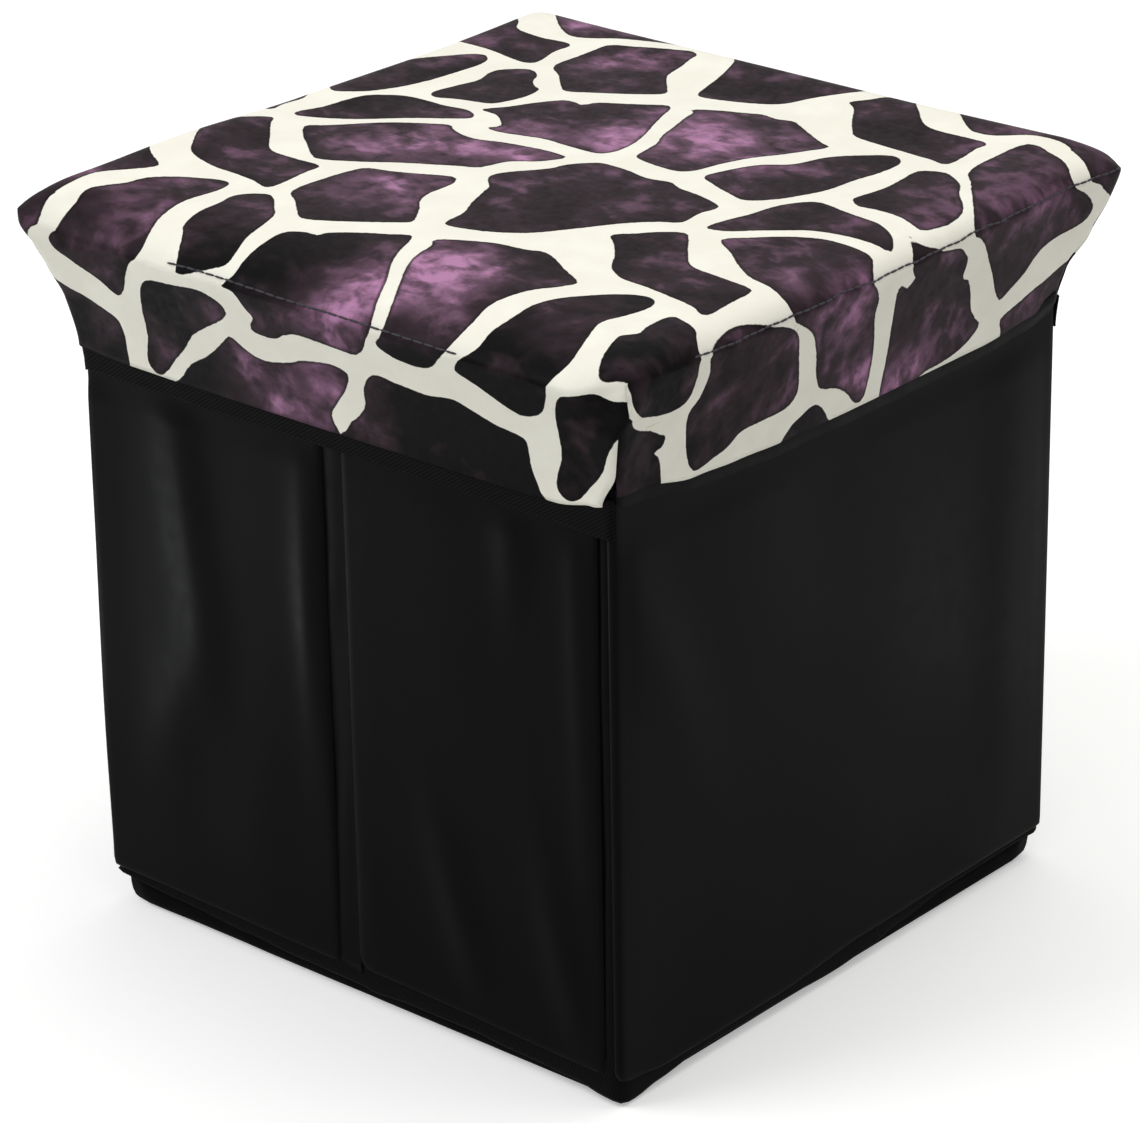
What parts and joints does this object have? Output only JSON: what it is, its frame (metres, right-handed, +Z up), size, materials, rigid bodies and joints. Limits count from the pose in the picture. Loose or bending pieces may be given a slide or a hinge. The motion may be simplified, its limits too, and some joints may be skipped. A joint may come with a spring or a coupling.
{
  "type": "ottoman with storage",
  "caption": "Collapsible cube storage ottoman: black vinyl folding walls, padded hinged lid with an animal-print cover and taped skirt, loose base board.",
  "frame": {"origin": "centre of the footprint, on the surface the ottoman stands on", "axes": "+Z up; +X towards the wall that the lid is sewn to; -Y towards the front, which folds along its middle"},
  "size_m": [0.305, 0.305, 0.31],
  "materials": {
    "black_vinyl": "satin black faux leather with soft vertical sheen",
    "printed_vinyl": "satin cream faux leather printed with large clouded black and purple patches",
    "black_tape": "matte black woven binding tape",
    "black_lining": "matte black non-woven lining",
    "fibreboard": "raw brown fibreboard",
    "foam": "pale yellow upholstery foam"
  },
  "bodies": {
    "hinge_side": {"hinge_wall_skin": "black_vinyl", "hinge_wall_board": "fibreboard", "hinge_wall_lining": "black_lining", "hinge_wall_rim_tape": "black_tape", "front_hinge_corner_strip": "black_vinyl", "back_hinge_corner_strip": "black_vinyl", "lid_hinge_flap": "black_vinyl", "floor_sheet": "black_lining", "bottom_binding": "black_tape"},
    "front_half_a": {"front_half_a_skin": "black_vinyl", "front_half_a_board": "fibreboard", "front_half_a_lining": "black_lining", "front_half_a_rim_tape": "black_tape", "front_centre_strip": "black_vinyl"},
    "front_half_b": {"front_half_b_skin": "black_vinyl", "front_half_b_board": "fibreboard", "front_half_b_lining": "black_lining", "front_half_b_rim_tape": "black_tape"},
    "back_half_a": {"back_half_a_skin": "black_vinyl", "back_half_a_board": "fibreboard", "back_half_a_lining": "black_lining", "back_half_a_rim_tape": "black_tape", "back_centre_strip": "black_vinyl"},
    "back_half_b": {"back_half_b_skin": "black_vinyl", "back_half_b_board": "fibreboard", "back_half_b_lining": "black_lining", "back_half_b_rim_tape": "black_tape"},
    "far_side": {"far_wall_skin": "black_vinyl", "far_wall_board": "fibreboard", "far_wall_lining": "black_lining", "far_wall_rim_tape": "black_tape", "front_far_corner_strip": "black_vinyl", "back_far_corner_strip": "black_vinyl"},
    "lid": {"lid_cover": "printed_vinyl", "lid_padding": "foam", "lid_board": "fibreboard", "lid_lining": "black_lining", "front_hem_tape": "black_tape", "back_hem_tape": "black_tape", "far_hem_tape": "black_tape"},
    "base_board": {"base_board_cover": "black_lining", "base_board_core": "fibreboard"}
  },
  "joints": [
    {"name": "lid_hinge", "type": "hinge", "parent": "hinge_side", "child": "lid", "pos_m": [0.1396, 0, 0.2427], "axis": [0, 1, 0], "range_deg": [0, 160]},
    {"name": "front_hinge_corner_fold", "type": "hinge", "parent": "hinge_side", "child": "front_half_a", "pos_m": [0.125, -0.131, 0], "axis": [0, 0, 1], "range_deg": [-84, 0]},
    {"name": "front_centre_fold", "type": "hinge", "parent": "front_half_a", "child": "front_half_b", "pos_m": [0, -0.136, 0], "axis": [0, 0, 1], "range_deg": [0, 168]},
    {"name": "front_far_corner_fold", "type": "hinge", "parent": "front_half_b", "child": "far_side", "pos_m": [-0.125, -0.131, 0], "axis": [0, 0, 1], "range_deg": [-84, 0]},
    {"name": "back_hinge_corner_fold", "type": "hinge", "parent": "hinge_side", "child": "back_half_a", "pos_m": [0.125, 0.131, 0], "axis": [0, 0, 1], "range_deg": [0, 84]},
    {"name": "back_centre_fold", "type": "hinge", "parent": "back_half_a", "child": "back_half_b", "pos_m": [0, 0.136, 0], "axis": [0, 0, 1], "range_deg": [-168, 0]},
    {"name": "base_board_tilt", "type": "hinge", "parent": "hinge_side", "child": "base_board", "pos_m": [0.1266, 0, 0.0025], "axis": [0, -1, 0], "range_deg": [-90, 0]}
  ],
  "couplings": [
    {"joint": "front_centre_fold", "follows": "front_hinge_corner_fold", "ratio": -2},
    {"joint": "front_far_corner_fold", "follows": "front_hinge_corner_fold", "ratio": 1},
    {"joint": "back_hinge_corner_fold", "follows": "front_hinge_corner_fold", "ratio": -1},
    {"joint": "back_centre_fold", "follows": "front_hinge_corner_fold", "ratio": 2}
  ]
}
